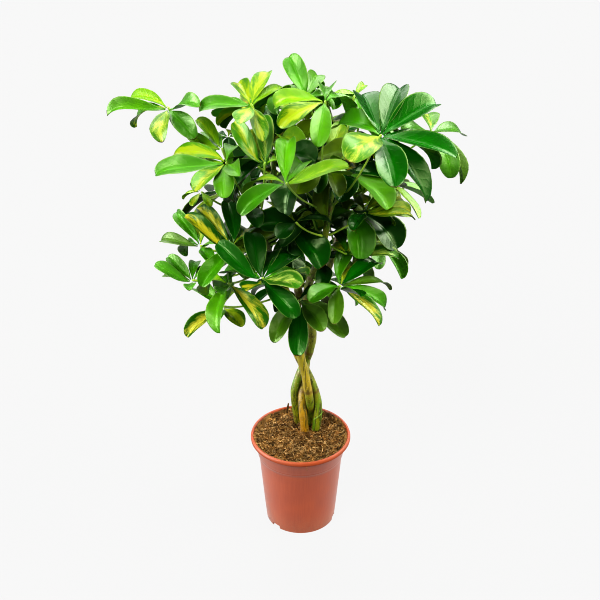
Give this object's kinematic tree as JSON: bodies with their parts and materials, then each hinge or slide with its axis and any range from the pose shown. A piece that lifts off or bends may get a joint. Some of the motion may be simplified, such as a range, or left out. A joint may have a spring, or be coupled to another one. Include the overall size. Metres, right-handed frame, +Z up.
{
  "type": "potted umbrella plant",
  "caption": "Dwarf umbrella plant with a braided trunk and variegated fingered leaves, growing in a round plastic nursery pot filled with coir.",
  "frame": {"origin": "centre of the pot's base, on the surface that the pot stands on", "axes": "+Z up along the pot's axis, -Y towards the side that the picture shows, +X to its right"},
  "size_m": [0.5442, 0.4679, 0.838],
  "materials": {
    "pot_plastic": "terracotta-coloured polypropylene, satin",
    "coir": "dry, coarse, fibrous light brown coir and peat",
    "stem_bark": "smooth green to yellow-brown bark with pale leaf-scar rings",
    "young_leaf": "glossy bright green with cream and yellow patches",
    "mature_leaf": "glossy dark green with yellow patches along the midribs"
  },
  "bodies": {
    "root": {"pot": "pot_plastic", "soil": "coir", "stem_left": "stem_bark", "stem_right": "stem_bark", "stem_middle": "stem_bark", "stem_front": "stem_bark", "leaf_big_right": "young_leaf", "leaf_young_front": "young_leaf", "leaf_top": "young_leaf", "leaf_top_upright": "young_leaf", "leaf_front_low": "mature_leaf", "leaf_low_yellow": "mature_leaf", "leaf_left_yellow": "young_leaf", "leaf_right_bottom": "mature_leaf", "leaf_bottom_front": "mature_leaf", "leaf_left_bottom": "mature_leaf", "leaf_left_middle": "mature_leaf", "leaf_far_left": "young_leaf", "leaf_top_left": "young_leaf", "leaf_upright_left": "young_leaf", "leaf_far_right": "young_leaf", "leaf_right_upper": "mature_leaf", "leaf_right_dark": "mature_leaf", "leaf_right_low": "mature_leaf", "leaf_left_outer": "mature_leaf", "leaf_left_low": "mature_leaf", "leaf_left_small": "young_leaf", "leaf_left_lime": "young_leaf", "leaf_top_right": "young_leaf", "leaf_young_middle": "mature_leaf", "leaf_inner_yellow": "young_leaf", "leaf_inner_dark": "mature_leaf", "leaf_inner_left": "mature_leaf", "leaf_inner_low": "mature_leaf", "leaf_rear_top_1": "young_leaf", "leaf_rear_top_2": "young_leaf", "leaf_rear_high_1": "young_leaf", "leaf_rear_high_2": "young_leaf", "leaf_rear_high_3": "young_leaf", "leaf_rear_high_4": "young_leaf", "leaf_rear_high_5": "young_leaf", "leaf_rear_middle_1": "mature_leaf", "leaf_rear_middle_2": "mature_leaf", "leaf_rear_middle_3": "mature_leaf", "leaf_rear_middle_4": "mature_leaf", "leaf_rear_middle_5": "mature_leaf", "leaf_rear_low_1": "mature_leaf", "leaf_rear_low_2": "mature_leaf", "leaf_rear_low_3": "mature_leaf", "leaf_rear_low_4": "mature_leaf", "leaf_rear_bottom_1": "mature_leaf", "leaf_rear_bottom_2": "mature_leaf", "leaf_inside_high_1": "young_leaf", "leaf_inside_high_2": "young_leaf", "leaf_inside_high_3": "young_leaf", "leaf_inside_high_4": "young_leaf", "leaf_inside_low_1": "mature_leaf", "leaf_inside_low_2": "mature_leaf", "leaf_inside_low_3": "mature_leaf", "leaf_inside_low_4": "mature_leaf"}
  },
  "joints": []
}
